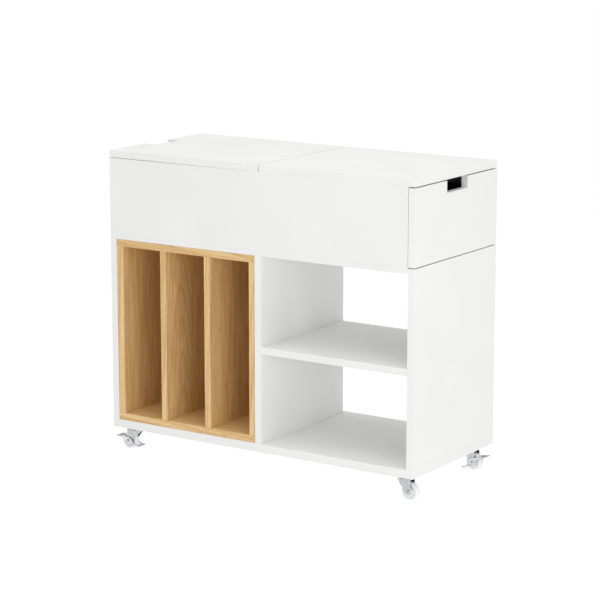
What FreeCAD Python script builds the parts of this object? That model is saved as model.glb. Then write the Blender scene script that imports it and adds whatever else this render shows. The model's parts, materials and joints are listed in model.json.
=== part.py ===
import FreeCAD, Part
import math
import os

# A rolling sewing table. Everything below is in millimetres.
# It is modelled in a carcass frame: x from the left side, y from the front, z from the
# underside of the bottom board. save() moves each piece to the row's frame, whose origin
# is on the floor under the middle of the whole table.

# Carcass
width = 800.0
depth = 350.0
body_height = 640.0
board = 16.0
bottom_board_thick = 19.0
middle_board_thick = 12.0
middle_top = 452.0
partition_x = 396.0
partition_depth = 335.0
shelf_top = 238.0
shelf_recess = 2.0
edge_round = 0.5

# Top: a hinged lid on the left, a fixed top on the right
seam_x = 406.8
seam_gap = 2.5
lid_rise = 1.1
notch_wide = 88.0
lid_notch_deep = 32.0
notch_corner = 2.0

# Lid hinges, barrels let into the two facing edges
hinge_ys = (70.0, 280.0)
hinge_axis_above_top = 0.5
barrel_radius = 6.5
barrel_long = 22.0
link_radius = 8.0
link_half_thick = 1.5
link_width = 4.0
link_clear = 0.4
link_end_angle = 18.0

# Drawer in the right end of the upper box
front_gap_below = 2.2
front_gap_above = 2.6
front_gap_behind = 1.2
drawer_notch_deep = 26.0
drawer_board = 12.0
drawer_bottom_thick = 5.0
drawer_groove = 4.0
drawer_box_long = 352.0
drawer_box_low = 10.0
drawer_box_tall = 124.0
runner_long = 340.0
runner_set_back = 4.0
runner_gap = 12.9
runner_sheet = 1.2
runner_lip = 4.0
cabinet_runner_tall = 45.0
cabinet_runner_wide = 10.2
middle_runner_tall = 34.0
middle_runner_wide = 8.0
middle_runner_gap = 0.5
slide_tall = 16.0
slide_reach = 6.9

# Oak insert in the left bay
insert_fit = 0.6
insert_recess = 2.0
insert_depth = 330.0
insert_back_thick = 6.0
insert_bay_wide = 105.0

# Castors
castor_height = 56.0
castor_inset_x = 37.0
castor_inset_y = 34.0
castor_trail = 13.0
wheel_radius = 20.0
tread_half_wide = 8.0
hub_half_wide = 8.7
axle_radius = 3.0
axle_head_radius = 4.3
axle_head_tall = 2.0
running_clear = 0.05
plate_size = 44.0
plate_thick = 2.0
plate_corner = 5.0
plate_hole_offset = 16.0
race_radius = 15.0
race_taper = 1.5
race_deep = 5.0
kingpin_radius = 3.0
kingpin_head_radius = 5.5
kingpin_head_tall = 2.0
fork_sheet = 1.5
fork_below_race = 0.3
fork_lead = 20.5
fork_tail = 17.0
fork_lip = 5.0
fork_eye = 6.5
fork_fold = 1.2
cheek_inside = 9.0
prow_from = 4.0
prow_half_wide = 4.0
brake_sheet = 1.5
brake_clear = 0.3
brake_boss = 7.5
brake_stroke = 14.0

# Fasteners
dowel_radius = 4.0
dowel_long = 28.0
dowel_into_face = 9.0
dowel_from_edge = 50.0
dowel_from_board = 45.0
cam_radius = 7.5
cam_deep = 12.0
cam_from_joint = 34.0
cam_from_edge = 90.0
shelf_pin_radius = 2.5
shelf_pin_long = 16.0
shelf_pin_from_edge = 40.0
bumper_radius = 5.0
bumper_from_edge = 30.0
bumper_clear = 0.1
screw_radius = 1.9
screw_clear = 0.4
screw_long = 15.0
screw_head_radius = 4.0
screw_head_tall = 1.8

# Places that follow from the sizes above
inner_width_end = width - board
top_under = body_height - board
front_inside = board
back_inside = depth - board
divider_x = seam_x - board / 2
partition_right = partition_x + board
seam_left = seam_x - seam_gap / 2
seam_right = seam_x + seam_gap / 2
notch_low = depth / 2 - notch_wide / 2
notch_high = depth / 2 + notch_wide / 2
axle_z = wheel_radius - castor_height
fork_top = -plate_thick - race_deep - fork_below_race
fork_half_wide = cheek_inside + fork_sheet
hinge_axis_z = body_height + hinge_axis_above_top
drawer_z = middle_top + drawer_box_low
drawer_end_x = inner_width_end - drawer_box_long
drawer_y = front_inside + runner_gap
drawer_y_end = back_inside - runner_gap

x_axis = FreeCAD.Vector(1, 0, 0)
y_axis = FreeCAD.Vector(0, 1, 0)
z_axis = FreeCAD.Vector(0, 0, 1)


def at(x, y, z):
    return FreeCAD.Vector(x, y, z)


def block(x, y, z):
    """A box given by its (low, high) pair along each axis."""
    return Part.makeBox(x[1] - x[0], y[1] - y[0], z[1] - z[0], at(x[0], y[0], z[0]))


def panel(x, y, z):
    """A board with its edges just broken, as edge banding leaves them."""
    plain = block(x, y, z)
    return plain.makeFillet(edge_round, plain.Edges)


def rod(radius, start, along, length):
    return Part.makeCylinder(radius, length, start, along)


def less(shape, tools):
    for tool in tools:
        shape = shape.cut(tool)
    return shape


def outline(points):
    """A flat face through (x, z) points, standing in the plane y = 0."""
    ring = [at(px, 0, pz) for px, pz in points]
    return Part.Face(Part.makePolygon(ring + ring[:1]))


# Carcass

def dowels():
    """Wood dowels across the carcass joints; each is (middle of the joint, direction)."""
    joints = []
    for y in (dowel_from_edge, depth / 2, depth - dowel_from_edge):
        for x in (board / 2, width - board / 2):
            joints.append((at(x, y, bottom_board_thick), z_axis))
        for x in (board, inner_width_end):
            joints.append((at(x, y, middle_top - middle_board_thick / 2), x_axis))
    for y in (dowel_from_edge, partition_depth - dowel_from_edge):
        joints.append((at(partition_x + board / 2, y, bottom_board_thick), z_axis))
    for z in (middle_top + dowel_from_board, top_under - dowel_from_board):
        for y in (front_inside / 2, depth - board / 2):
            joints.append((at(board, y, z), x_axis))
    pins = []
    for middle, along in joints:
        start = middle - along * dowel_into_face
        if along == x_axis and middle.x > width / 2:
            start = middle - along * (dowel_long - dowel_into_face)
        pins.append(rod(dowel_radius, start, along, dowel_long))
    return pins


def cam_locks():
    """Round cam locks let into the inside of the boards, a bolt's length from the joint."""
    above_bottom = bottom_board_thick + cam_from_joint
    box_mid = (middle_top + top_under) / 2
    places = []
    for y in (cam_from_edge, depth - cam_from_edge):
        places.append((at(board, y, above_bottom), -x_axis))
        places.append((at(inner_width_end, y, above_bottom), x_axis))
        places.append((at(partition_x, y, above_bottom), x_axis))
    places.append((at(board + cam_from_joint, front_inside, box_mid), -y_axis))
    places.append((at(board + cam_from_joint, back_inside, box_mid), y_axis))
    return [rod(cam_radius, place, along, cam_deep) for place, along in places]


def notched_lid():
    """The lid, with its grip notch, tipped so that its free end rests on the bumpers."""
    lid = block((0, seam_left), (0, depth), (top_under, body_height))
    notch = block((-board, lid_notch_deep), (notch_low, notch_high), (top_under - 1, body_height + 1))
    inner = [e for e in notch.Edges if is_upright(e) and e.Vertexes[0].X > 0]
    lid = lid.cut(notch.makeFillet(notch_corner, inner))
    lid = lid.makeFillet(edge_round, lid.Edges)
    lid = less(lid, lid_barrels() + hinge_slots())
    lid.rotate(at(seam_x, 0, hinge_axis_z), y_axis, lid_tilt())
    return lid


def is_upright(edge):
    first, last = edge.Vertexes[0], edge.Vertexes[-1]
    return abs(first.X - last.X) < 0.01 and abs(first.Y - last.Y) < 0.01


def lid_tilt():
    return math.degrees(math.asin(lid_rise / seam_x))


def fixed_top():
    top = panel((seam_right, width), (0, depth), (top_under, body_height))
    return less(top, top_barrels() + hinge_slots())


def lid_bumpers():
    """Soft pads on the left side panel that the free end of the lid comes down on."""
    pad_tall = lid_rise - bumper_clear
    places = [at(board / 2, y, top_under) for y in (bumper_from_edge, depth - bumper_from_edge)]
    return [rod(bumper_radius, place, z_axis, pad_tall) for place in places]


# Lid hinges

def barrel(y, side):
    """One half of a barrel hinge, in the edge on that side of the seam, -1 left or 1 right."""
    edge = seam_x + side * seam_gap / 2
    return rod(barrel_radius, at(edge, y, body_height - board / 2), x_axis * side, barrel_long)


def lid_barrels():
    return [barrel(y, -1) for y in hinge_ys]


def top_barrels():
    return [barrel(y, 1) for y in hinge_ys]


def link_ring(y, clear):
    """A flat ring about the hinge axis, the path that a link sweeps."""
    outer = link_radius + link_half_thick + clear
    inner = link_radius - link_half_thick - clear
    wide = link_width + 2 * clear
    start = at(seam_x, y - wide / 2, hinge_axis_z)
    return rod(outer, start, y_axis, wide).cut(rod(inner, start, y_axis, wide))


def hinge_slots():
    low = block((0, width), (0, depth), (0, body_height - 1.0))
    return [link_ring(y, link_clear).common(low) for y in hinge_ys]


def hinge_links():
    """Arc links that bridge the two barrels under the seam."""
    reach = link_radius * 2
    drop = reach * math.tan(math.radians(link_end_angle))
    wedge = outline([(seam_x, hinge_axis_z), (seam_x + reach, hinge_axis_z - drop),
                     (seam_x + reach, hinge_axis_z - 2 * reach), (seam_x - reach, hinge_axis_z - 2 * reach),
                     (seam_x - reach, hinge_axis_z - drop)])
    wedge = wedge.extrude(y_axis * depth)
    return [link_ring(y, 0).common(wedge) for y in hinge_ys]


def open_barrels(barrels):
    return Part.makeCompound([less(one, hinge_slots()) for one in barrels])


# Drawer

def drawer_front():
    low = middle_top + front_gap_below
    high = top_under - front_gap_above
    face = block((inner_width_end, width), (0, depth), (low, high))
    notch_z = (high - drawer_notch_deep, high + board)
    notch = block((inner_width_end - 1, width + 1), (notch_low, notch_high), notch_z)
    lower = [e for e in notch.Edges if is_along_x(e) and e.Vertexes[0].Z < high]
    face = face.cut(notch.makeFillet(notch_corner, lower))
    return face.makeFillet(edge_round, face.Edges)


def is_along_x(edge):
    first, last = edge.Vertexes[0], edge.Vertexes[-1]
    return abs(first.Z - last.Z) < 0.01 and abs(first.Y - last.Y) < 0.01


def drawer_bottom():
    into = drawer_groove
    inside_x = (drawer_end_x + drawer_board - into, inner_width_end - drawer_board + into)
    inside_y = (drawer_y + drawer_board - into, drawer_y_end - drawer_board + into)
    low = drawer_z + drawer_board
    return block(inside_x, inside_y, (low, low + drawer_bottom_thick))


def drawer_boards():
    tall = (drawer_z, drawer_z + drawer_box_tall)
    along = (drawer_end_x, inner_width_end)
    across = (drawer_y + drawer_board, drawer_y_end - drawer_board)
    boards = {
        "drawer_side_front": panel(along, (drawer_y, drawer_y + drawer_board), tall),
        "drawer_side_rear": panel(along, (drawer_y_end - drawer_board, drawer_y_end), tall),
        "drawer_end": panel((drawer_end_x, drawer_end_x + drawer_board), across, tall),
        "drawer_inner_front": panel((inner_width_end - drawer_board, inner_width_end), across, tall),
    }
    return {name: one.cut(drawer_bottom()) for name, one in boards.items()}


def runner_mid_z():
    return drawer_z + drawer_box_tall / 2


def runner_x():
    x_end = inner_width_end - runner_set_back
    return x_end - runner_long, x_end


def channel(tall, wide, wall):
    """A rolled channel that opens towards +y: its back is at y = wall."""
    low, high = runner_mid_z() - tall / 2, runner_mid_z() + tall / 2
    lip = runner_sheet + runner_lip
    outside = block(runner_x(), (wall, wall + wide), (low, high))
    hollow = block(runner_x(), (wall + runner_sheet, wall + wide - runner_sheet),
                   (low + runner_sheet, high - runner_sheet))
    mouth = block(runner_x(), (wall + runner_sheet, wall + wide + runner_sheet), (low + lip, high - lip))
    return less(outside, [hollow, mouth])


def runner_members():
    """The cabinet, middle and drawer members of the runner on the front panel's inner face."""
    cabinet = channel(cabinet_runner_tall, cabinet_runner_wide, front_inside)
    middle_wall = front_inside + runner_sheet + middle_runner_gap
    middle = channel(middle_runner_tall, middle_runner_wide, middle_wall)
    low, high = runner_mid_z() - slide_tall / 2, runner_mid_z() + slide_tall / 2
    slide = block(runner_x(), (drawer_y - slide_reach, drawer_y), (low, high))
    hollow = block(runner_x(), (drawer_y - slide_reach, drawer_y - runner_sheet),
                   (low + runner_sheet, high - runner_sheet))
    return cabinet, middle, slide.cut(hollow)


def mirrored(shape):
    """The same piece on the other long side of the table."""
    return shape.mirror(at(0, depth / 2, 0), y_axis)


# Oak insert

def insert_boards():
    """Top and bottom run the full width; the walls and dividers stand between them."""
    x = (board + insert_fit, partition_x - insert_fit)
    z = (bottom_board_thick, middle_top - middle_board_thick - insert_fit)
    y = (insert_recess, insert_recess + insert_depth)
    y_inside = (insert_recess, insert_recess + insert_depth - insert_back_thick)
    z_inside = (z[0] + board, z[1] - board)
    first_divider = x[0] + board + insert_bay_wide
    second_divider = x[1] - board - insert_bay_wide - board
    return {
        "insert_top": panel(x, y, (z_inside[1], z[1])),
        "insert_bottom": panel(x, y, (z[0], z_inside[0])),
        "insert_left_wall": panel((x[0], x[0] + board), y, z_inside),
        "insert_right_wall": panel((x[1] - board, x[1]), y, z_inside),
        "insert_divider_left": panel((first_divider, first_divider + board), y_inside, z_inside),
        "insert_divider_right": panel((second_divider, second_divider + board), y_inside, z_inside),
        "insert_back": block((x[0] + board, x[1] - board), (y_inside[1], y[1]), z_inside),
    }


# Castors
# Each castor is made with its swivel axis on z, its plate's top at z = 0 and its wheel
# trailing towards +x, then turned and moved to its corner.

def castor_plate():
    half = plate_size / 2
    sheet = block((-half, half), (-half, half), (-plate_thick, 0))
    sheet = sheet.makeFillet(plate_corner, [e for e in sheet.Edges if is_upright(e)])
    cup = Part.makeCone(race_radius + race_taper, race_radius, race_deep, at(0, 0, -plate_thick), -z_axis)
    body = sheet.fuse(cup).removeSplitter()
    holes = [bored(screw_radius + screw_clear, x, y) for x, y in plate_holes()]
    return less(body, holes + [bored(kingpin_radius, 0, 0)])


def plate_holes():
    offsets = (-plate_hole_offset, plate_hole_offset)
    return [(x, y) for x in offsets for y in offsets]


def bored(radius, x, y):
    """An upright hole through the plate, the race and the top of the fork."""
    return rod(radius, at(x, y, fork_top - 2 * fork_sheet), z_axis, -fork_top + 3 * fork_sheet)


def kingpin():
    """The rivet that the fork turns on, held by the plate and headed under the fork."""
    head_top = fork_top - fork_sheet - fork_below_race
    shank = rod(kingpin_radius, at(0, 0, 0), -z_axis, -head_top)
    head = Part.makeCone(kingpin_head_radius, kingpin_radius + 1, kingpin_head_tall,
                         at(0, 0, head_top), -z_axis)
    return shank.fuse(head).removeSplitter()


def fork_side():
    """The outline of a fork cheek: broad under the plate, slanting down to the eye of the axle."""
    eye_front, eye_back = castor_trail - fork_eye, castor_trail + fork_eye
    return outline([(-fork_lead, fork_top), (fork_tail, fork_top), (fork_tail, fork_top - fork_lip),
                    (eye_back, axle_z), (castor_trail + fork_eye / 2, axle_z - fork_eye),
                    (castor_trail - fork_eye / 2, axle_z - fork_eye), (eye_front, axle_z - fork_eye / 2),
                    (-prow_from, axle_z + wheel_radius / 2), (-fork_lead, fork_top - fork_sheet)])


def fork_plan(inside):
    """The fork seen from above, as a block: straight cheeks that draw in to a narrow prow."""
    half, nose = fork_half_wide - inside, prow_half_wide - inside
    lead, tail = fork_lead - inside, castor_trail + wheel_radius
    ring = [(tail, half), (-prow_from, half), (-lead, nose),
            (-lead, -nose), (-prow_from, -half), (tail, -half)]
    ring = [at(x, y, fork_top - inside) for x, y in ring]
    return Part.Face(Part.makePolygon(ring + ring[:1])).extrude(-z_axis * castor_height)


def castor_fork():
    cheeks = fork_side().extrude(y_axis * 2 * fork_half_wide)
    cheeks.translate(at(0, -fork_half_wide, 0))
    across = [e for e in cheeks.Edges if is_along_y(e) and e.Vertexes[0].Z < fork_top - fork_lip]
    solid = cheeks.makeFillet(fork_sheet, across).common(fork_plan(0))
    solid = solid.makeFillet(fork_fold, [e for e in solid.Edges if is_long_fold(e)])
    axle_hole = rod(axle_radius, at(castor_trail, -fork_half_wide, axle_z), y_axis, 2 * fork_half_wide)
    return less(solid, [fork_plan(fork_sheet), bored(kingpin_radius + running_clear, 0, 0), axle_hole])


def is_along_y(edge):
    first, last = edge.Vertexes[0], edge.Vertexes[-1]
    return abs(first.X - last.X) < 0.01 and abs(first.Z - last.Z) < 0.01


def is_long_fold(edge):
    """The outer corners where the fork's top folds down into its cheeks and its prow."""
    points = [v.Point for v in edge.Vertexes]
    on_top = all(abs(p.z - fork_top) < 0.01 for p in points)
    at_tail = all(abs(p.x - fork_tail) < 0.01 for p in points)
    return on_top and not at_tail


def castor_axle(braked):
    """A riveted axle with a domed head on each end."""
    reach = fork_half_wide
    if braked:
        reach += brake_clear + brake_sheet + running_clear
    shank = rod(axle_radius, at(castor_trail, -reach, axle_z), y_axis, 2 * reach)
    dome_radius = (axle_head_radius ** 2 + axle_head_tall ** 2) / (2 * axle_head_tall)
    ball = Part.makeSphere(dome_radius, at(castor_trail, reach - dome_radius + axle_head_tall, axle_z))
    cap = ball.common(rod(dome_radius, at(castor_trail, reach, axle_z), y_axis, axle_head_tall))
    return shank.fuse([cap, cap.mirror(at(0, 0, 0), y_axis)]).removeSplitter()


def castor_wheel():
    """A moulded wheel: crowned tread, dished sides with a ring, and a hub that runs on the axle."""
    bore = axle_radius + running_clear
    half = [(bore, hub_half_wide), (6.0, hub_half_wide), (6.6, 6.2), (10.5, 5.2), (11.2, 6.6),
            (14.5, 6.8), (15.2, 7.6), (17.6, tread_half_wide)]
    right = [at(r, 0, y) for r, y in half]
    left = [at(r, 0, -y) for r, y in reversed(half)]
    crown = Part.Arc(right[-1], at(wheel_radius, 0, 0), left[0]).toShape()
    sides = [Part.makeLine(a, b) for a, b in zip(right, right[1:])]
    sides += [crown] + [Part.makeLine(a, b) for a, b in zip(left, left[1:])]
    sides.append(Part.makeLine(left[-1], right[0]))
    section = Part.Face(Part.Wire(sides))
    wheel = section.revolve(at(0, 0, 0), z_axis, 360)
    wheel.rotate(at(0, 0, 0), x_axis, 90)
    wheel.translate(at(castor_trail, 0, axle_z))
    return wheel


def brake_lever(raised):
    """A pressed steel rocker on the axle: two thin S-shaped cheeks joined by a tread at each end."""
    inner = fork_half_wide + brake_clear
    outer = inner + brake_sheet
    arm = outline([(34.0, 8.6), (22.0, 9.6), (5.0, 9.6), (-3.0, 8.4), (-9.0, 4.8), (-12.6, -2.4),
                   (-18.0, -7.0), (-24.0, -8.4), (-32.0, -8.4), (-32.0, -9.9), (-23.6, -9.9), (-17.0, -8.6),
                   (-11.0, -5.0), (8.0, -1.2), (16.0, 3.2), (24.0, 6.6), (34.0, 7.1)])
    press_tread = outline([(22.0, 9.6), (34.0, 8.6), (34.0, 7.1), (22.0, 8.1)])
    free_tread = outline([(-21.5, -8.0), (-24.0, -8.4), (-32.0, -8.4), (-32.0, -9.9), (-23.6, -9.9),
                          (-21.5, -9.5)])
    boss = rod(brake_boss, at(0, 0, 0), y_axis, brake_sheet)
    side = arm.extrude(y_axis * brake_sheet).fuse(boss)
    far, near = side.copy(), side.copy()
    far.translate(at(0, inner, 0))
    near.translate(at(0, -outer, 0))
    treads = [one.extrude(y_axis * 2 * outer) for one in (press_tread, free_tread)]
    for one in treads:
        one.translate(at(0, -outer, 0))
    lever = far.fuse([near] + treads).removeSplitter()
    lever = lever.cut(rod(axle_radius + running_clear, at(0, -outer, 0), y_axis, 2 * outer))
    lever.rotate(at(0, 0, 0), y_axis, -raised)
    lever.translate(at(castor_trail, 0, axle_z))
    return lever


def castor_screws():
    """Pan head screws through the four corners of a castor plate."""
    screws = []
    for x, y in plate_holes():
        seat = at(x, y, -plate_thick)
        head = Part.makeCone(screw_head_radius - 1, screw_head_radius, screw_head_tall,
                             seat - z_axis * screw_head_tall, z_axis)
        screws.append(head.fuse(rod(screw_radius, seat, z_axis, screw_long)).removeSplitter())
    return screws


# name: (x, y, heading of the trailing wheel in degrees, raised angle of the brake or None)
castors = {
    "front_left": (castor_inset_x, castor_inset_y, 180.0, 0.0),
    "front_right": (width - castor_inset_x, castor_inset_y, 0.0, None),
    "rear_left": (castor_inset_x, depth - castor_inset_y, 172.0, None),
    "rear_right": (width - castor_inset_x, depth - castor_inset_y, -8.0, brake_stroke),
}


def seated(shape, corner):
    x, y, heading, _ = castors[corner]
    shape.rotate(at(0, 0, 0), z_axis, heading)
    shape.translate(at(x, y, 0))
    return shape


# The row's frame and files

def overhang():
    """How far the brake treads stand out past the left and right sides."""
    front_lever = seated(brake_lever(castors["front_left"][3]), "front_left")
    rear_lever = seated(brake_lever(castors["rear_right"][3]), "rear_right")
    return front_lever.BoundBox.XMin, rear_lever.BoundBox.XMax


def row_offset():
    low, high = overhang()
    return at(-(low + high) / 2, -depth / 2, castor_height)


os.makedirs("parts", exist_ok=True)
offset = row_offset()
print("row offset", offset)


def save(name, shape):
    if isinstance(shape, list):
        shape = Part.makeCompound(shape)
    shape = shape.copy()
    shape.translate(offset)
    shape.exportStep("parts/" + name + ".step")


def save_carcass():
    wide = (board, inner_width_end)
    shelf_x = (partition_right, inner_width_end)
    upper_z = (middle_top, top_under)
    upper_x = (board, inner_width_end - front_gap_behind)
    middle_z = (middle_top - middle_board_thick, middle_top)
    pins, cams = dowels(), cam_locks()
    boards = {
        "bottom_board": panel((0, width), (0, depth), (0, bottom_board_thick)),
        "left_side_panel": panel((0, board), (0, depth), (bottom_board_thick, top_under)),
        "right_side_panel": panel((inner_width_end, width), (0, depth), (bottom_board_thick, middle_top)),
        "centre_partition": panel((partition_x, partition_right), (0, partition_depth),
                                  (bottom_board_thick, middle_z[0])),
        "shelf": panel(shelf_x, (shelf_recess, partition_depth), (shelf_top - board, shelf_top)),
        "middle_board": panel(wide, (0, depth), middle_z),
        "front_panel": panel(upper_x, (0, front_inside), upper_z),
        "rear_panel": panel(upper_x, (back_inside, depth), upper_z),
        "upper_divider": panel((divider_x, divider_x + board), (front_inside, back_inside), upper_z),
    }
    for name, one in boards.items():
        save(name, less(one, screw_holes() + pins + cams) if name != "shelf" else one)
    save("fixed_top", fixed_top())
    save("dowels", pins)
    save("cam_locks", cams)
    save("shelf_pins", shelf_pins())


def shelf_pins():
    """Round pins half in the sides of the right bay, under the four corners of the shelf."""
    z = shelf_top - board - shelf_pin_radius
    pins = []
    for y in (shelf_pin_from_edge, partition_depth - shelf_pin_from_edge):
        pins.append(rod(shelf_pin_radius, at(partition_right, y, z), x_axis, shelf_pin_long / 2))
        pins.append(rod(shelf_pin_radius, at(inner_width_end, y, z), -x_axis, shelf_pin_long / 2))
    return pins


def screw_holes():
    return [screw for corner in castors for screw in seated_screws(corner)]


def seated_screws(corner):
    x, y = castors[corner][:2]
    screws = castor_screws()
    for screw in screws:
        screw.translate(at(x, y, 0))
    return screws


def save_lid():
    tilt_about = at(seam_x, 0, hinge_axis_z)
    barrels = open_barrels(lid_barrels())
    barrels.rotate(tilt_about, y_axis, lid_tilt())
    save("lid", notched_lid())
    save("lid_hinge_barrels", barrels)
    save("top_hinge_barrels", open_barrels(top_barrels()))
    save("hinge_links", hinge_links())
    save("lid_bumpers", lid_bumpers())


def save_drawer():
    save("drawer_front", drawer_front())
    save("drawer_bottom", drawer_bottom())
    for name, one in drawer_boards().items():
        save(name, one)
    for name, one in zip(("cabinet", "middle", "drawer"), runner_members()):
        save("front_runner_" + name, one)
        save("rear_runner_" + name, mirrored(one))


def save_insert():
    for name, one in insert_boards().items():
        save(name, one)


def save_castors():
    pins = []
    for corner, (x, y, heading, raised) in castors.items():
        plate, pin = castor_plate(), kingpin()
        plate.translate(at(x, y, 0))
        pin.translate(at(x, y, 0))
        pins.append(pin)
        save(corner + "_castor_plate", plate)
        save(corner + "_castor_fork", seated(castor_fork(), corner))
        save(corner + "_castor_axle", seated(castor_axle(raised is not None), corner))
        save(corner + "_castor_wheel", seated(castor_wheel(), corner))
        if raised is not None:
            save(corner + "_brake_lever", seated(brake_lever(raised), corner))
    save("castor_kingpins", pins)
    save("castor_screws", screw_holes())


save_carcass()
save_lid()
save_drawer()
save_insert()
save_castors()
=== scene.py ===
import json
import math
import bmesh
import bpy
from mathutils import Matrix, Vector


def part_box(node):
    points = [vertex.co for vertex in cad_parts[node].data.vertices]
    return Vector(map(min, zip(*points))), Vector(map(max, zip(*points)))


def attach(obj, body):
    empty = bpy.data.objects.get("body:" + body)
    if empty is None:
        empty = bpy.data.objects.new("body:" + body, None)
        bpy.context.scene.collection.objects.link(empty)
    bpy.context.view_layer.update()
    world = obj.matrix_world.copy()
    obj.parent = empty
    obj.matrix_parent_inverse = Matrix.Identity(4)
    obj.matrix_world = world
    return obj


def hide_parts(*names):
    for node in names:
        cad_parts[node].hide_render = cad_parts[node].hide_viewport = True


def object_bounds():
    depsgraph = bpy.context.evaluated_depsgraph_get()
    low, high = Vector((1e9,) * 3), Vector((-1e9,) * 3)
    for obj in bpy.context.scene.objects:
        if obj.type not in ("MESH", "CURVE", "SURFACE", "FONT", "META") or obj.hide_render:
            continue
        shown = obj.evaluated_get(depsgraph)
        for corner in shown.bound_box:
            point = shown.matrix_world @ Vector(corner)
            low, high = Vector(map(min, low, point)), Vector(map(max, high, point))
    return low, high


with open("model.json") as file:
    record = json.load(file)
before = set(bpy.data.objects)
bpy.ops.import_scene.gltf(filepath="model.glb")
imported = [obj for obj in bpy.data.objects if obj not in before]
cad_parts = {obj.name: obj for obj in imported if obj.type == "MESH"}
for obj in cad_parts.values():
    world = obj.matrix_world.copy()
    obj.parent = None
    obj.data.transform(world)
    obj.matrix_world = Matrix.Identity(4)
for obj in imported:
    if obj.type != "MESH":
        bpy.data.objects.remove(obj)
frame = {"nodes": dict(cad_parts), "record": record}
cadLow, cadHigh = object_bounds()
nodes = frame["nodes"]
mm = 0.001
print("frame loaded:", len(nodes), "nodes")


def linearColour(hexText):
    channels = [int(hexText[i:i + 2], 16) / 255 for i in (1, 3, 5)]
    return tuple(c / 12.92 if c <= 0.04045 else ((c + 0.055) / 1.055) ** 2.4 for c in channels) + (1.0,)


# each input is either a socket to link or a plain value to set
def setInputs(tree, node, inputs):
    for name, value in inputs.items():
        if isinstance(value, bpy.types.NodeSocket):
            tree.links.new(value, node.inputs[name])
        else:
            node.inputs[name].default_value = value


# adds a node with its inputs and settings; stops are the (place, colour) pairs of a colour ramp
def addNode(tree, kind, inputs, stops=(), **settings):
    node = tree.nodes.new(kind)
    for name, value in settings.items():
        setattr(node, name, value)
    setInputs(tree, node, inputs)
    if stops:
        elements = node.color_ramp.elements
        while len(elements) < len(stops):
            elements.new(0.5)
        for element, (place, colour) in zip(elements, stops):
            element.position = place
            element.color = colour
    return node


def newMaterial(name):
    material = bpy.data.materials.new(name)
    material.use_nodes = True
    tree = material.node_tree
    return material, tree, tree.nodes["Principled BSDF"]


# the two tones of an even surface, dark below the first place on the ramp and light above the second
def toneStops(places, dark, light):
    return list(zip(places, (linearColour(dark), linearColour(light))))


# a ramp that turns a pattern into shares between 0 and 1
def greyStops(stops):
    return [(place, (share, share, share, 1.0)) for place, share in stops]


# the scale at which a noise texture's blobs are about this many millimetres wide
def noiseScale(sizeMm):
    return 1 / sizeMm / mm


# the pearl is drawn coarser than the real 0.3 mm or so, or it wouldn't show
whiteLook = {"base": "#EFEFEE", "shade": "#ECECEB", "tonePlaces": (0.3, 0.7), "pearlMm": 1.1,
             "cloudMm": 140.0, "roughLow": 0.40, "roughHigh": 0.52, "bump": 0.18, "bumpMm": 0.05, "ior": 1.5}
# the drawer boards are a dark anthracite melamine, and this dark tone also serves as painted shade for the
# drawer's inside seen through the lid's notch
anthraciteLook = {"base": "#36373A", "shade": "#303134", "tonePlaces": (0.3, 0.7), "pearlMm": 1.1,
                  "cloudMm": 140.0, "roughLow": 0.45, "roughHigh": 0.6, "bump": 0.2, "bumpMm": 0.05,
                  "ior": 1.5}


# melamine on particle board, pressed against a satin plate: an even tone with a fine pearl grain in its sheen
def melamineFace(name, look):
    material, tree, shader = newMaterial(name)
    place = addNode(tree, "ShaderNodeTexCoord", {}).outputs["Object"]
    pearl = addNode(tree, "ShaderNodeTexNoise",
                    {"Scale": noiseScale(look["pearlMm"]), "Detail": 2.0, "Vector": place})
    cloud = addNode(tree, "ShaderNodeTexNoise",
                    {"Scale": noiseScale(look["cloudMm"]), "Detail": 1.0, "Vector": place})
    tone = addNode(tree, "ShaderNodeValToRGB", {"Fac": cloud.outputs["Fac"]},
                   toneStops(look["tonePlaces"], look["shade"], look["base"]))
    rough = addNode(tree, "ShaderNodeMapRange", {"To Min": look["roughLow"], "To Max": look["roughHigh"],
                                                 "Value": pearl.outputs["Fac"]})
    bump = addNode(tree, "ShaderNodeBump", {"Strength": look["bump"], "Distance": look["bumpMm"] * mm,
                                            "Height": pearl.outputs["Fac"]})
    setInputs(tree, shader, {"Base Color": tone.outputs["Color"], "Roughness": rough.outputs["Result"],
                             "Normal": bump.outputs["Normal"], "IOR": look["ior"]})
    return material


# a stretch of 0.07 draws a pattern out along the grain by 1 / 0.07; the stops turn it into shares of its
# colour; the pores are drawn wider than the real 0.3 mm, or they wouldn't show
oakLook = {"early": "#ECCB94", "late": "#D8B073", "streak": "#CEA467", "pore": "#9A6E3A",
           "ringMm": 7.0, "ringStretch": 0.07, "ringWander": 3.2, "streakMm": 9.0, "streakStretch": 0.02,
           "poreMm": 0.7, "poreLongMm": 22.0, "roughness": 0.46, "ior": 1.5, "bump": 0.35, "bumpMm": 0.08,
           "lateStops": [(0.0, 0.0), (0.55, 0.12), (0.9, 0.95), (1.0, 0.2)],
           "streakStops": [(0.38, 0.0), (0.68, 0.8)], "poreStops": [(0.60, 0.0), (0.70, 0.6)]}
grainTurn = {"up": 0.0, "across": math.pi / 2}
waveLength = math.pi / 10  # a wave texture of scale 1 repeats in this many metres


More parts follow.
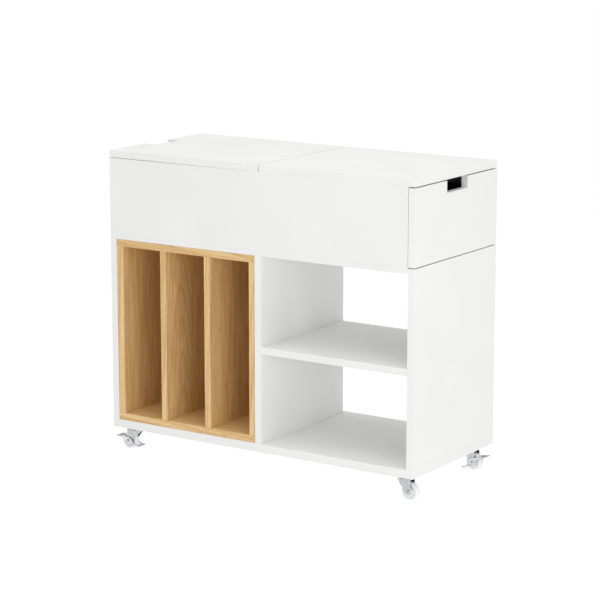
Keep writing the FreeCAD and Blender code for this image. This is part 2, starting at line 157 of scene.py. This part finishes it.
# natural oak veneer, flat cut and lacquered: long flames of darker late wood, with fine open pores
def oakVeneer(name, grain, heart, tilt):
    material, tree, shader = newMaterial(name)
    place = addNode(tree, "ShaderNodeTexCoord", {}).outputs["Object"]
    turn = (tilt[0], grainTurn[grain] + tilt[1], 0.0)
    log = addNode(tree, "ShaderNodeMapping", {"Location": heart, "Rotation": turn, "Vector": place},
                  vector_type="TEXTURE").outputs["Vector"]

    def alongGrain(stretch):
        return addNode(tree, "ShaderNodeMapping",
                       {"Scale": (1.0, 1.0, stretch), "Vector": log}).outputs["Vector"]

    rings = addNode(tree, "ShaderNodeTexWave",
                    {"Scale": waveLength / (oakLook["ringMm"] * mm), "Distortion": oakLook["ringWander"],
                     "Detail": 2.5, "Detail Scale": 0.35, "Detail Roughness": 0.55,
                     "Vector": alongGrain(oakLook["ringStretch"])},
                    wave_type="RINGS", rings_direction="Z", wave_profile="SAW")
    streaks = addNode(tree, "ShaderNodeTexNoise",
                      {"Scale": noiseScale(oakLook["streakMm"]), "Detail": 3.0, "Roughness": 0.6,
                       "Vector": alongGrain(oakLook["streakStretch"])})
    pores = addNode(tree, "ShaderNodeTexNoise",
                    {"Scale": noiseScale(oakLook["poreMm"]), "Detail": 1.0,
                     "Vector": alongGrain(oakLook["poreMm"] / oakLook["poreLongMm"])})
    shares = {}
    for key, pattern in (("late", rings), ("streak", streaks), ("pore", pores)):
        shares[key] = addNode(tree, "ShaderNodeValToRGB", {"Fac": pattern.outputs["Fac"]},
                              greyStops(oakLook[key + "Stops"])).outputs["Color"]
    wood = linearColour(oakLook["early"])
    for key, share in shares.items():
        wood = addNode(tree, "ShaderNodeMix", {0: share, 6: wood, 7: linearColour(oakLook[key])},
                       data_type="RGBA").outputs[2]
    poreFloor = addNode(tree, "ShaderNodeMath", {0: 1.0, 1: shares["pore"]}, operation="SUBTRACT")
    bump = addNode(tree, "ShaderNodeBump", {"Strength": oakLook["bump"], "Distance": oakLook["bumpMm"] * mm,
                                            "Height": poreFloor.outputs[0]})
    setInputs(tree, shader, {"Base Color": wood, "Normal": bump.outputs["Normal"],
                             "Roughness": oakLook["roughness"], "IOR": oakLook["ior"]})
    return material


# on the forks and axles the near-white edge colour is a painted highlight on the folds, and the darkest
# colour is painted shade in the corners and just under the plate
castorZincLook = {"bright": "#C9CFCF", "dull": "#AEB6B7", "cloudMm": 9.0, "rubMm": 0.4,
                  "roughLow": 0.16, "roughHigh": 0.3, "paintedEdgeMm": 1.2, "edge": "#FAFCFC", "paintedEdgeShare": 0.9,
                  "paintedShadeMm": 10.0, "paintedShade": "#1F2526", "paintedShadeStart": 0.88, "paintedShadeFull": 0.35}
# on the brake levers the dark edge colour is a painted shade along the sheared edges, and the darkest colour
# is painted shade in the corners
leverZincLook = {"bright": "#E2E8E8", "dull": "#C9D1D1", "cloudMm": 9.0, "rubMm": 0.4,
                 "roughLow": 0.16, "roughHigh": 0.3, "paintedEdgeMm": 0.9, "edge": "#2A3031", "paintedEdgeShare": 0.95,
                 "paintedShadeMm": 8.0, "paintedShade": "#1F2526", "paintedShadeStart": 0.85, "paintedShadeFull": 0.35}
# the castor plates are drawn dark grey as painted shade, so their thin edges read as the shadow line under
# the board; their lighter edge colour is a painted highlight and their darkest colour is painted shade in the
# corners
shadowDarkPlateSteelLook = {"bright": "#6F7776", "dull": "#565E5D", "cloudMm": 9.0, "rubMm": 0.4,
                  "roughLow": 0.3, "roughHigh": 0.45, "paintedEdgeMm": 0.5, "edge": "#8E9695", "paintedEdgeShare": 0.5,
                  "paintedShadeMm": 9.0, "paintedShade": "#1C2021", "paintedShadeStart": 0.86, "paintedShadeFull": 0.3}
# on the runners and screws the light edge colour is a painted highlight on the edges, and the darkest colour
# is painted shade in the corners
runnerZincLook = {"bright": "#C4C7C9", "dull": "#A9ADAF", "cloudMm": 14.0, "rubMm": 0.6,
                  "roughLow": 0.3, "roughHigh": 0.45, "paintedEdgeMm": 0.5, "edge": "#E2E4E5", "paintedEdgeShare": 0.6,
                  "paintedShadeMm": 6.0, "paintedShade": "#4A4D50", "paintedShadeStart": 0.8, "paintedShadeFull": 0.2}
# the painted edge tone grows as the rounded normal leaves the face's own, between these two cosines
zincPattern = {"tonePlaces": (0.35, 0.65), "paintedEdgeStart": 0.995, "paintedEdgeFull": 0.86, "bump": 0.12, "bumpMm": 0.03}


# bright zinc plating on pressed steel: cool pale grey, faintly cloudy, with fine rubbing marks in its shine,
# its folds and edges mixed towards a painted highlight (a painted shade on the brake levers), and painted
# shade dark in its corners
def zincPlate(name, look):
    material, tree, shader = newMaterial(name)
    place = addNode(tree, "ShaderNodeTexCoord", {}).outputs["Object"]
    cloud = addNode(tree, "ShaderNodeTexNoise",
                    {"Scale": noiseScale(look["cloudMm"]), "Detail": 4.0, "Vector": place})
    tone = addNode(tree, "ShaderNodeValToRGB", {"Fac": cloud.outputs["Fac"]},
                   toneStops(zincPattern["tonePlaces"], look["dull"], look["bright"]))

    # painted edge tone: where the bevel normal turns from the flat normal, at folds and edges, the colour is
    # mixed towards the look's edge colour, a painted highlight on most parts and a painted shade on the brake
    # levers
    rounded = addNode(tree, "ShaderNodeBevel", {"Radius": look["paintedEdgeMm"] * mm}, samples=4)
    flat = addNode(tree, "ShaderNodeNewGeometry", {})
    alike = addNode(tree, "ShaderNodeVectorMath",
                    {0: rounded.outputs["Normal"], 1: flat.outputs["True Normal"]}, operation="DOT_PRODUCT")
    edge = addNode(tree, "ShaderNodeMapRange",
                   {"From Min": zincPattern["paintedEdgeStart"], "From Max": zincPattern["paintedEdgeFull"],
                    "To Max": look["paintedEdgeShare"], "Value": alike.outputs["Value"]})
    paintedEdgeTone = addNode(tree, "ShaderNodeMix", {0: edge.outputs["Result"], 6: tone.outputs["Color"],
                                            7: linearColour(look["edge"])}, data_type="RGBA")

    # painted shade: ambient occlusion within a few millimetres darkens the colour in corners and close under
    # other parts
    openness = addNode(tree, "ShaderNodeAmbientOcclusion", {"Distance": look["paintedShadeMm"] * mm}, samples=8)
    paintedShade = addNode(tree, "ShaderNodeMapRange",
                    {"From Min": look["paintedShadeStart"], "From Max": look["paintedShadeFull"],
                     "Value": openness.outputs["AO"]})
    cornerShaded = addNode(tree, "ShaderNodeMix", {0: paintedShade.outputs["Result"], 6: paintedEdgeTone.outputs[2],
                                              7: linearColour(look["paintedShade"])}, data_type="RGBA")

    rough = addNode(tree, "ShaderNodeMapRange", {"To Min": look["roughLow"], "To Max": look["roughHigh"],
                                                 "Value": cloud.outputs["Fac"]})
    rub = addNode(tree, "ShaderNodeTexNoise",
                  {"Scale": noiseScale(look["rubMm"]), "Detail": 2.0, "Vector": place})
    bump = addNode(tree, "ShaderNodeBump",
                   {"Strength": zincPattern["bump"], "Distance": zincPattern["bumpMm"] * mm,
                    "Height": rub.outputs["Fac"]})
    setInputs(tree, shader, {"Base Color": cornerShaded.outputs[2], "Roughness": rough.outputs["Result"],
                             "Normal": bump.outputs["Normal"], "Metallic": 1.0})
    return material


nylonLook = {"base": "#F1F2F3", "shade": "#EAEBED", "tonePlaces": (0.3, 0.7), "cloudMm": 9.0, "grainMm": 0.5,
             "roughness": 0.36, "ior": 1.53, "bump": 0.1, "bumpMm": 0.04}


# moulded nylon, off-white, faintly cloudy, with the soft sheen of a blasted mould
def castorNylon(name, look):
    material, tree, shader = newMaterial(name)
    place = addNode(tree, "ShaderNodeTexCoord", {}).outputs["Object"]
    cloud = addNode(tree, "ShaderNodeTexNoise",
                    {"Scale": noiseScale(look["cloudMm"]), "Detail": 2.0, "Vector": place})
    grain = addNode(tree, "ShaderNodeTexNoise",
                    {"Scale": noiseScale(look["grainMm"]), "Detail": 1.0, "Vector": place})
    tone = addNode(tree, "ShaderNodeValToRGB", {"Fac": cloud.outputs["Fac"]},
                   toneStops(look["tonePlaces"], look["shade"], look["base"]))
    bump = addNode(tree, "ShaderNodeBump", {"Strength": look["bump"], "Distance": look["bumpMm"] * mm,
                                            "Height": grain.outputs["Fac"]})
    setInputs(tree, shader, {"Base Color": tone.outputs["Color"], "Normal": bump.outputs["Normal"],
                             "Roughness": look["roughness"], "IOR": look["ior"]})
    return material


# satin brass hinges, turned beech dowels, and pale silicone pads under the lid
brassLook = {"light": "#CFAE6B", "dark": "#B89656", "grainMm": 0.6, "roughness": 0.35, "metallic": 1.0}
beechLook = {"light": "#CDA577", "dark": "#B88E60", "grainMm": 0.8, "roughness": 0.7, "metallic": 0.0}
siliconeLook = {"light": "#E4E4E2", "dark": "#D2D2D0", "grainMm": 0.8, "roughness": 0.5, "metallic": 0.0}
smallPartBump = {"strength": 0.1, "deepMm": 0.05}


# a small part's finish: one colour, with a fine grain that breaks up its shine
def fineGrained(name, look):
    material, tree, shader = newMaterial(name)
    place = addNode(tree, "ShaderNodeTexCoord", {}).outputs["Object"]
    grain = addNode(tree, "ShaderNodeTexNoise",
                    {"Scale": noiseScale(look["grainMm"]), "Detail": 2.0, "Vector": place})
    tone = addNode(tree, "ShaderNodeMix", {0: grain.outputs["Fac"], 6: linearColour(look["light"]),
                                           7: linearColour(look["dark"])}, data_type="RGBA")
    bump = addNode(tree, "ShaderNodeBump",
                   {"Strength": smallPartBump["strength"], "Distance": smallPartBump["deepMm"] * mm,
                    "Height": grain.outputs["Fac"]})
    setInputs(tree, shader, {"Base Color": tone.outputs[2], "Normal": bump.outputs["Normal"],
                             "Roughness": look["roughness"], "Metallic": look["metallic"]})
    return material


leverZinc = zincPlate("leverZinc", leverZincLook)
shadowDarkPlateSteel = zincPlate("shadowDarkPlateSteel", shadowDarkPlateSteelLook)
runnerZinc = zincPlate("runnerZinc", runnerZincLook)
finishes = {
    "white_laminate": melamineFace("whiteMelamine", whiteLook),
    "drawer_board": melamineFace("anthraciteMelamine", anthraciteLook),
    "castor_steel": zincPlate("castorZinc", castorZincLook),
    "castor_plastic": castorNylon("castorNylon", nylonLook),
    "runner_steel": runnerZinc,
    "fastener_steel": runnerZinc,
    "hinge_brass": fineGrained("satinBrass", brassLook),
    "dowel_beech": fineGrained("turnedBeech", beechLook),
    "bumper_rubber": fineGrained("siliconePad", siliconeLook),
}


def paint(nodeName, material):
    node = nodes[nodeName]
    node.data.materials.clear()
    node.data.materials.append(material)


for entry in frame["record"]["subparts"]:
    if entry["material_slot"] in finishes:
        paint(entry["node"], finishes[entry["material_slot"]])
    # the castor plates get the dark steel that is painted shade under the board
    if entry["node"].endswith("_castor_plate"):
        paint(entry["node"], shadowDarkPlateSteel)
    if entry["node"].endswith("_brake_lever"):
        paint(entry["node"], leverZinc)

# each oak board is cut from its own place in the log, so no two flames repeat: which way its grain runs,
# how far the heart of the log lies from the board's middle in metres, and how it is tilted in radians
oakBoards = {
    "insert_left_wall": ("up", (0.035, -0.06, 0.1), (0.0, 0.05)),
    "insert_divider_left": ("up", (0.052, -0.10, -0.1), (0.03, 0.09)),
    "insert_divider_right": ("up", (0.045, -0.02, 0.3), (0.0, 0.06)),
    "insert_right_wall": ("up", (-0.040, -0.05, 0.2), (0.02, 0.05)),
    "insert_top": ("across", (0.1, -0.03, 0.045), (0.02, 0.05)),
    "insert_bottom": ("across", (0.0, 0.02, -0.05), (0.0, 0.06)),
    "insert_back": ("up", (0.0, 0.05, 0.0), (0.04, 0.0)),
}
for boardName, (grain, heartOffset, tilt) in oakBoards.items():
    low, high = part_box(boardName)
    heart = (low + high) / 2 + Vector(heartOffset)
    paint(boardName, oakVeneer("oakVeneer_" + boardName, grain, heart, tilt))
print("materials made")


mergeMm = 0.002  # points nearer than this are one point
sharpDegrees = 35.0  # edges that turn by more than this stay crisp
jointOf = {joint["name"]: joint for joint in frame["record"]["behaviour"]["joints"]}
corners = [name[:-len("_swivel")] for name in jointOf if name.endswith("_swivel")]


# a finished mesh becomes a piece that rides on one body
def addPiece(name, mesh, slot, body, stoodFor=()):
    bmesh.ops.remove_doubles(mesh, verts=mesh.verts, dist=mergeMm * mm)
    bmesh.ops.recalc_face_normals(mesh, faces=mesh.faces)
    data = bpy.data.meshes.new(name)
    mesh.to_mesh(data)
    mesh.free()
    data.shade_smooth()
    data.set_sharp_from_angle(angle=math.radians(sharpDegrees))
    data.materials.append(finishes[slot])
    piece = bpy.data.objects.new(name, data)
    bpy.context.scene.collection.objects.link(piece)
    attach(piece, body)
    if stoodFor:
        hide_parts(*stoodFor)


# turns +Z to the given axis and moves the origin to the given place
def standAt(place, axis):
    return Matrix.Translation(Vector(place)) @ Vector(axis).to_track_quat("Z", "Y").to_matrix().to_4x4()


# spins an open outline of (radius, height) points in mm about Z
def turned(outline, steps):
    mesh = bmesh.new()
    row = [mesh.verts.new((radius * mm, 0.0, height * mm)) for radius, height in outline]
    edges = [mesh.edges.new(pair) for pair in zip(row, row[1:])]
    bmesh.ops.spin(mesh, geom=row + edges, axis=(0, 0, 1), cent=(0, 0, 0), angle=math.tau, steps=steps,
                   use_merge=True)
    bmesh.ops.remove_doubles(mesh, verts=mesh.verts, dist=mergeMm * mm)
    return mesh


# the wheel: a crowned tread with the mould's parting line, a rolled rim, a dished web and a proud boss;
# bossFoot and rimFoot are steps out from where the boss or the rim meets the web, rimLip from the rim's mouth
wheelLook = {"radius": 19.95, "treadHalf": 8.0, "crown": 2.4, "partingHigh": 0.05,
             "crownShares": (0.85, 0.7, 0.5, 0.3, 0.12, 0.04), "rimRound": 0.7, "rimTurns": (90, 60, 30),
             "rimInside": 15.3, "rimFoot": [(-3.6, 0.0), (-3.2, 1.1), (-0.8, 1.3)],
             "rimLip": [(-0.2, -0.7), (0.6, -0.1)], "webHalf": 5.3, "bossRadius": 6.3, "bossHalf": 8.6,
             "bossBevel": 0.5, "bossFoot": [(0.3, 0.5), (0.8, 0.0)], "bore": 3.06, "boreBevel": 0.4,
             "steps": 72}


# steps of (out, up) become points round a corner at (radius, height)
def shifted(steps, radius, height):
    return [(radius + out, height + up) for out, up in steps]


# from the bore out over one side to the middle of the tread, then back over the other side
def wheelOutline(look):
    half = [(look["bore"], 0.0), (look["bore"], look["bossHalf"] - look["boreBevel"]),
            (look["bore"] + look["boreBevel"], look["bossHalf"]),
            (look["bossRadius"] - look["bossBevel"], look["bossHalf"]),
            (look["bossRadius"], look["bossHalf"] - look["bossBevel"])]
    half += shifted(look["bossFoot"], look["bossRadius"], look["webHalf"])
    half += shifted(look["rimFoot"], look["rimInside"], look["webHalf"])
    half += shifted(look["rimLip"], look["rimInside"], look["treadHalf"])
    rimRadius = look["radius"] - look["crown"]
    for turn in look["rimTurns"]:
        angle = math.radians(turn)
        half.append((rimRadius - look["rimRound"] * (1 - math.cos(angle)),
                     look["treadHalf"] - look["rimRound"] * (1 - math.sin(angle))))
    for share in look["crownShares"]:
        crowned = look["radius"] - look["partingHigh"] - look["crown"] * share ** 2
        half.append((crowned, look["treadHalf"] * share))
    half.append((look["radius"], 0.0))
    return half + [(radius, -height) for radius, height in reversed(half)]


# the axle: a rivet whose domed heads were spun over, which leaves a ring and a dimple
axleLook = {"radius": 2.95, "headRadius": 4.3, "headTall": 1.95, "domeTurns": (20, 40, 55, 68), "reach": 10.5,
            "brakedReach": 12.35, "ringDrop": 0.08, "dimple": 1.3, "dimpleFloor": 1.04, "dimpleDeep": 0.6,
            "steps": 40}


def axleOutline(look, reach):
    half = [(look["radius"], 0.0), (look["radius"], reach), (look["headRadius"], reach)]
    for turn in look["domeTurns"]:
        angle = math.radians(turn)
        half.append((look["headRadius"] * math.cos(angle), reach + look["headTall"] * math.sin(angle)))
    top = reach + look["headTall"]
    half += [(look["dimple"], top - look["ringDrop"]), (look["dimpleFloor"], top - look["dimpleDeep"]),
             (0.0, top - look["dimpleDeep"])]
    return [(radius, -height) for radius, height in reversed(half)] + half[1:]


for corner in corners:
    spin = jointOf[corner + "_wheel_spin"]
    stand = standAt(spin["pos_m"], spin["axis"])
    wheel = turned(wheelOutline(wheelLook), wheelLook["steps"])
    bmesh.ops.transform(wheel, matrix=stand, verts=wheel.verts)
    addPiece(corner + "_moulded_wheel", wheel, "castor_plastic", corner + "_wheel",
             [corner + "_castor_wheel"])
    braked = corner + "_brake_press" in jointOf
    axle = turned(axleOutline(axleLook, axleLook["brakedReach" if braked else "reach"]), axleLook["steps"])
    bmesh.ops.transform(axle, matrix=stand, verts=axle.verts)
    addPiece(corner + "_rivet_axle", axle, "castor_steel", corner + "_fork", [corner + "_castor_axle"])
print("castor wheels and axles made")


# the last ring is pulled out into a new one, and its points are placed by a function of the angle
def nextRing(mesh, ring, radiusAt, height):
    edges = [edge for edge in mesh.edges if edge.verts[0] in ring and edge.verts[1] in ring]
    grown = bmesh.ops.extrude_edge_only(mesh, edges=edges)["geom"]
    ring = [item for item in grown if isinstance(item, bmesh.types.BMVert)]
    for vert in ring:
        angle = math.atan2(vert.co.y, vert.co.x)
        radius = radiusAt(angle) * mm
        vert.co = (radius * math.cos(angle), radius * math.sin(angle), height * mm)
    return set(ring)


recessTaper = 0.7  # the floor of a cross recess against its mouth
tiny = 0.001  # keeps a division sound where the cross runs straight along an axis


# a fastener with a cross recess: rings of (radius, height) up its side, then the recess pressed into its head
def crossHead(look):
    mesh = bmesh.new()
    (firstRadius, firstHeight), *others = look["side"]
    bmesh.ops.create_circle(mesh, cap_ends=True, radius=firstRadius * mm, segments=look["segments"],
                            matrix=Matrix.Translation((0, 0, firstHeight * mm)))
    ring = set(mesh.verts)
    for radius, height in others:
        ring = nextRing(mesh, ring, lambda angle: radius, height)

    def crossAt(angle):
        across, along = sorted((abs(math.cos(angle)), abs(math.sin(angle))))
        return min(look["arm"] / along, look["slot"] / 2 / max(across, tiny))

    top = others[-1][1]
    ring = nextRing(mesh, ring, crossAt, top)
    ring = nextRing(mesh, ring, lambda angle: recessTaper * crossAt(angle), top - look["deep"])
    mesh.faces.new(sorted(ring, key=lambda vert: math.atan2(vert.co.y, vert.co.x)))
    return mesh


# one mesh that holds a copy of the fastener at each (place, axis)
def fasteners(look, stands):
    one = crossHead(look)
    data = bpy.data.meshes.new("oneFastener")
    one.to_mesh(data)
    one.free()
    group = bmesh.new()
    for place, axis in stands:
        before = len(group.verts)
        group.from_mesh(data)
        group.verts.ensure_lookup_table()
        bmesh.ops.transform(group, matrix=standAt(place, axis), verts=group.verts[before:])
    bpy.data.meshes.remove(data)
    return group


panHead = [(3.9, 0.0), (3.9, 0.5), (3.6, 1.1), (2.9, 1.6), (2.3, 1.75)]
plateScrewLook = {"side": [(1.85, -14.8), (1.85, -0.3), (1.85, 0.0)] + panHead, "segments": 24,
                  "arm": 1.9, "slot": 0.9, "deep": 1.1, "fromCentre": 16.0, "sheet": 2.0}
camLook = {"side": [(7.45, -11.9), (7.45, -0.6), (7.1, -0.2), (5.6, -0.2)], "segments": 32,
           "arm": 4.2, "slot": 1.7, "deep": 2.2, "fromJoint": 34.0, "fromEdge": 90.0}
drawerScrewLook = {"side": panHead, "segments": 24, "arm": 1.9, "slot": 0.9, "deep": 1.1,
                   "fromSide": 45.0, "fromEdge": 30.0}


# four screws up through each castor's plate
def plateScrewStands(look):
    stands = []
    for corner in corners:
        x, y, _ = jointOf[corner + "_swivel"]["pos_m"]
        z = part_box(corner + "_castor_plate")[1].z - look["sheet"] * mm
        for side in (-1, 1):
            for end in (-1, 1):
                place = (x + side * look["fromCentre"] * mm, y + end * look["fromCentre"] * mm, z)
                stands.append((place, (0, 0, -1)))
    return stands


# two locks low in each side and in the partition, and one in the front and the rear panel by the left side
def camStands(look):
    frontY, backY = cadLow.y + look["fromEdge"] * mm, cadHigh.y - look["fromEdge"] * mm
    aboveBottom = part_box("bottom_board")[1].z + look["fromJoint"] * mm
    leftX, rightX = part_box("left_side_panel")[1].x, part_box("right_side_panel")[0].x
    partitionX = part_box("centre_partition")[0].x
    stands = []
    for y in (frontY, backY):
        stands += [((leftX, y, aboveBottom), (1, 0, 0)), ((rightX, y, aboveBottom), (-1, 0, 0)),
                   ((partitionX, y, aboveBottom), (-1, 0, 0))]
    boxMid = (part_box("front_panel")[0].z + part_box("front_panel")[1].z) / 2
    alongX = leftX + look["fromJoint"] * mm
    stands.append(((alongX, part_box("front_panel")[1].y, boxMid), (0, 1, 0)))
    stands.append(((alongX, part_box("rear_panel")[0].y, boxMid), (0, -1, 0)))
    return stands


# four screws from inside the drawer into its white front
def drawerScrewStands(look):
    low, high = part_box("drawer_inner_front")
    return [((low.x, y, z), (-1, 0, 0))
            for y in (low.y + look["fromSide"] * mm, high.y - look["fromSide"] * mm)
            for z in (low.z + look["fromEdge"] * mm, high.z - look["fromEdge"] * mm)]


plateScrews = fasteners(plateScrewLook, plateScrewStands(plateScrewLook))
addPiece("plate_screws", plateScrews, "fastener_steel", "carcass", ["castor_screws"])
camLocks = fasteners(camLook, camStands(camLook))
addPiece("cross_cam_locks", camLocks, "fastener_steel", "carcass", ["cam_locks"])
drawerScrews = fasteners(drawerScrewLook, drawerScrewStands(drawerScrewLook))
addPiece("drawer_front_screws", drawerScrews, "fastener_steel", "drawer")
print("screws and cam locks made")


# steel balls in their cages, between the fixed and the middle member of each runner, at the back of the
# track, where they stay inside it when the drawer is out; inward moves each row towards the runner's middle
cageLook = {"ball": 2.05, "pitch": 12.0, "count": 13, "wide": 5.6, "thick": 0.7, "cornerRound": 1.2,
            "endGap": 14.0, "inward": 0.6}


def ballCages(look, runnerName):
    mesh = bmesh.new()
    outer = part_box(runnerName + "_cabinet")
    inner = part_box(runnerName + "_middle")
    y = (inner[0].y + inner[1].y) / 2
    startX = inner[0].x + look["endGap"] * mm
    long = look["pitch"] * look["count"] * mm
    inward = look["inward"] * mm
    for z in ((outer[0].z + inner[0].z) / 2 + inward, (outer[1].z + inner[1].z) / 2 - inward):
        size = Matrix.Diagonal((long, look["wide"] * mm, look["thick"] * mm, 1.0))
        middle = Matrix.Translation((startX + long / 2, y, z))
        strip = bmesh.ops.create_cube(mesh, size=1.0, matrix=middle @ size)["verts"]
        upright = [edge for edge in mesh.edges if edge.verts[0] in strip and edge.verts[1] in strip
                   and abs(edge.verts[0].co.z - edge.verts[1].co.z) > look["thick"] * mm / 2]
        bmesh.ops.bevel(mesh, geom=upright, offset=look["cornerRound"] * mm, segments=4, profile=0.5,
                        affect="EDGES", material=-1)
        for count in range(look["count"]):
            x = startX + (count + 0.5) * look["pitch"] * mm
            bmesh.ops.create_icosphere(mesh, subdivisions=2, radius=look["ball"] * mm,
                                       matrix=Matrix.Translation((x, y, z)))
    return mesh


for runnerName in ("front_runner", "rear_runner"):
    addPiece(runnerName + "_ball_cages", ballCages(cageLook, runnerName), "runner_steel", "runner_middles")
print("runner ball cages made")


def linked(name, data):
    thing = bpy.data.objects.new(name, data)
    bpy.context.scene.collection.objects.link(thing)
    return thing


plainWhite = (1.0, 1.0, 1.0, 1.0)
stageLook = {"halfSize": 40.0, "paper": "#7F7F7F", "glow": 0.85}


# a lit paper sweep that glows by itself, so it stays white and its shadows stay faint
def makeStage(look):
    mesh = bpy.data.meshes.new("studioFloor")
    grid = bmesh.new()
    bmesh.ops.create_grid(grid, x_segments=1, y_segments=1, size=look["halfSize"])
    grid.to_mesh(mesh)
    grid.free()
    material, tree, shader = newMaterial("paleFloor")
    setInputs(tree, shader, {"Base Color": linearColour(look["paper"]), "Roughness": 1.0,
                             "Specular IOR Level": 0.0, "Emission Color": plainWhite,
                             "Emission Strength": look["glow"]})
    mesh.materials.append(material)
    linked("studioFloor", mesh)


skyLook = {"low": 0.31, "high": 0.84, "fullAt": 0.7}


# an even sky that is dimmer near the horizon, which gives the plated parts their dark edges;
# the camera itself sees it white all over
def makeSky(look):
    world = bpy.data.worlds.new("studioLight")
    bpy.context.scene.world = world
    world.use_nodes = True
    tree = world.node_tree
    direction = addNode(tree, "ShaderNodeTexCoord", {}).outputs["Generated"]
    up = addNode(tree, "ShaderNodeSeparateXYZ", {"Vector": direction}).outputs["Z"]
    strength = addNode(tree, "ShaderNodeMapRange", {"From Max": look["fullAt"], "To Min": look["low"],
                                                    "To Max": look["high"], "Value": up})
    seen = addNode(tree, "ShaderNodeLightPath", {}).outputs["Is Camera Ray"]
    lit = addNode(tree, "ShaderNodeMath", {0: strength.outputs["Result"], 1: seen}, operation="MAXIMUM")
    setInputs(tree, tree.nodes["Background"], {"Color": plainWhite, "Strength": lit.outputs[0]})


softboxes = {
    "keySoftbox": {"azimuth": 55.0, "elevation": 8.0, "distance": 3.2, "size": 1.4, "power": 20.5},
    "overheadSoftbox": {"azimuth": 20.0, "elevation": 80.0, "distance": 2.6, "size": 2.4, "power": 25.5},
}


# a square lamp aimed at the middle of the table; azimuth 0 is in front, 90 at the drawer end
def makeSoftbox(name, look):
    lamp = bpy.data.lights.new(name, "AREA")
    lamp.shape = "SQUARE"
    lamp.size = look["size"]
    lamp.energy = look["power"]
    lampObject = linked(name, lamp)
    around, above = math.radians(look["azimuth"]), math.radians(look["elevation"])
    level = math.cos(above)
    towards = Vector((math.sin(around) * level, -math.cos(around) * level, math.sin(above)))
    lampObject.location = (cadLow + cadHigh) / 2 + towards * look["distance"]
    lampObject.rotation_euler = towards.to_track_quat("Z", "Y").to_euler()


cameraLook = {"place": (2.7185, -4.0857, 1.3789), "azimuth": 33.645, "elevation": 11.637, "lens": 133.99,
              "farClip": 200.0}


def makeCamera(look):
    camera = bpy.data.cameras.new("camera")
    camera.lens = look["lens"]
    camera.clip_end = look["farClip"]
    cameraObject = linked("camera", camera)
    cameraObject.location = look["place"]
    cameraObject.rotation_euler = (math.radians(90 - look["elevation"]), 0.0, math.radians(look["azimuth"]))
    bpy.context.scene.camera = cameraObject


makeStage(stageLook)
makeSky(skyLook)
for softboxName, softboxLook in softboxes.items():
    makeSoftbox(softboxName, softboxLook)
makeCamera(cameraLook)
bpy.context.scene.view_settings.view_transform = "Standard"
print("floor, light and camera made")
